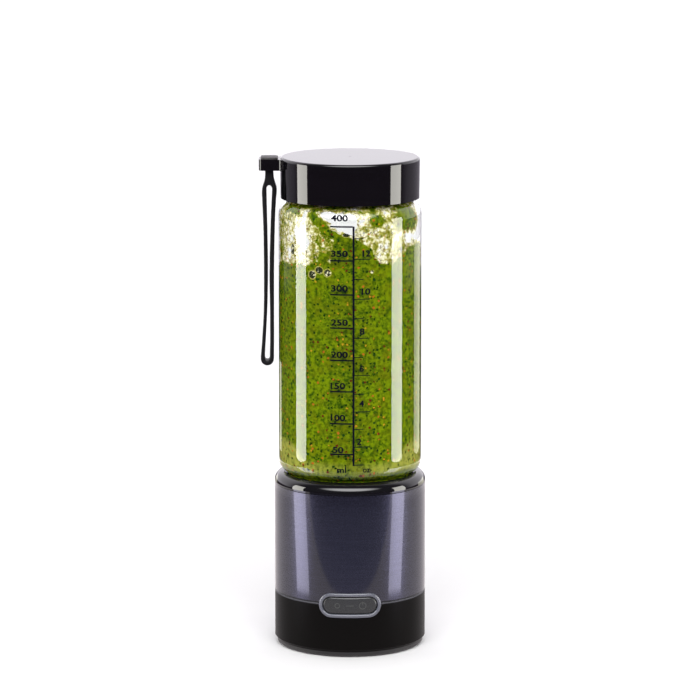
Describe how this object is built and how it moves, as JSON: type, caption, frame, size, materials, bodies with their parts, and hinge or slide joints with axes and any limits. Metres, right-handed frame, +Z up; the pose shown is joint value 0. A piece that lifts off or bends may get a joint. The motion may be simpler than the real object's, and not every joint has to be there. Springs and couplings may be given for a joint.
{
  "type": "cordless blender",
  "caption": "Cordless bottle blender: clear graduated jar screwed between a glossy black lid with a carry strap and a metal-sleeved motor base with a push button.",
  "frame": {"origin": "centre of the foot pad's underside, on the axis of the base, at the surface that the blender stands on", "axes": "+Z up along the jar's axis; the button faces -Y; the carry strap hangs on the -X side; the charging port faces +Y"},
  "size_m": [0.079, 0.0729, 0.2346],
  "materials": {
    "gloss_black": "glossy black moulded plastic",
    "clear_jar": "clear, smooth, printed with a scale",
    "strap_silicone": "matte black silicone",
    "seal_silicone": "translucent white silicone",
    "sleeve_metal": "dark bluish brushed metal",
    "button_ring": "satin steel blue",
    "button_dark": "dark grey",
    "foot_rubber": "matte black rubber",
    "blade_steel": "brushed stainless steel",
    "screw_steel": "bright zinc",
    "bearing_steel": "ground steel",
    "coupler_plastic": "white acetal",
    "frame_plastic": "matte dark plastic",
    "motor_steel": "zinc plated steel",
    "armature_copper": "copper windings on steel",
    "magnet": "dark ferrite",
    "cell_wrap": "shrink wrapped cell",
    "nickel": "nickel strip",
    "board_green": "green circuit board",
    "led_lens": "white lens"
  },
  "bodies": {
    "base": {"collar": "gloss_black", "metal_sleeve": "sleeve_metal", "lower_housing": "gloss_black", "bottom_cover": "frame_plastic", "cover_screws": "screw_steel", "foot_pad": "foot_rubber", "button_bezel": "button_ring", "tact_switch": "frame_plastic", "switch_board": "board_green", "status_led": "led_lens", "blade_seat": "blade_steel", "seat_screws": "screw_steel", "lower_bearing": "bearing_steel", "upper_bearing": "bearing_steel", "bearing_clip": "screw_steel", "shaft_seal": "strap_silicone", "motor_can": "motor_steel", "motor_endcap": "frame_plastic", "motor_magnets": "magnet", "motor_plate": "motor_steel", "motor_screws": "screw_steel", "inner_frame": "frame_plastic", "frame_screws": "screw_steel", "left_cell": "cell_wrap", "right_cell": "cell_wrap", "cell_tabs": "nickel", "control_board": "board_green", "charge_socket": "nickel"},
    "jar_ring": {"jar_gasket": "seal_silicone"},
    "jar": {"jar": "clear_jar"},
    "lid_ring": {"lid_seal": "seal_silicone"},
    "lid": {"lid_cap": "gloss_black", "lid_insert": "gloss_black", "strap_head": "strap_silicone"},
    "strap": {"strap_loop": "strap_silicone"},
    "spindle": {"blade_spindle": "bearing_steel", "spindle_clip": "screw_steel", "lower_blade": "blade_steel", "blade_spacer": "blade_steel", "upper_blade": "blade_steel", "blade_nut": "screw_steel", "driven_coupler": "coupler_plastic", "drive_coupler": "coupler_plastic", "motor_rotor": "armature_copper"},
    "button": {"button_cap": "button_dark", "switch_plunger": "coupler_plastic"},
    "port_flap": {"port_cover": "foot_rubber"}
  },
  "joints": [
    {"name": "jar_lift", "type": "slide", "parent": "base", "child": "jar_ring", "axis": [0, 0, 1], "range_m": [0, 0.0271]},
    {"name": "jar_turn", "type": "hinge", "parent": "jar_ring", "child": "jar", "pos_m": [0, 0, 0.075], "axis": [0, 0, 1], "range_deg": [0, 1080]},
    {"name": "lid_lift", "type": "slide", "parent": "jar", "child": "lid_ring", "axis": [0, 0, 1], "range_m": [0, 0.0181]},
    {"name": "lid_turn", "type": "hinge", "parent": "lid_ring", "child": "lid", "pos_m": [0, 0, 0.2318], "axis": [0, 0, 1], "range_deg": [0, 720]},
    {"name": "strap_swing", "type": "hinge", "parent": "lid", "child": "strap", "pos_m": [-0.0381, 0, 0.2259], "axis": [0, 1, 0], "range_deg": [0, 80]},
    {"name": "blade_spin", "type": "hinge", "parent": "base", "child": "spindle", "pos_m": [0, 0, 0.07], "axis": [0, 0, 1], "continuous": true},
    {"name": "button_press", "type": "slide", "parent": "base", "child": "button", "axis": [0, 1, 0], "range_m": [0, 0.0006], "stiffness_N_per_m": 1500, "springref_m": -0.0006},
    {"name": "port_flap_swing", "type": "hinge", "parent": "base", "child": "port_flap", "pos_m": [0, 0.0351, 0.0185], "axis": [1, 0, 0], "range_deg": [0, 90]}
  ],
  "couplings": [
    {"joint": "jar_lift", "follows": "jar_turn", "m_per_rad": 0.0014324},
    {"joint": "lid_lift", "follows": "lid_turn", "m_per_rad": 0.0014324}
  ]
}
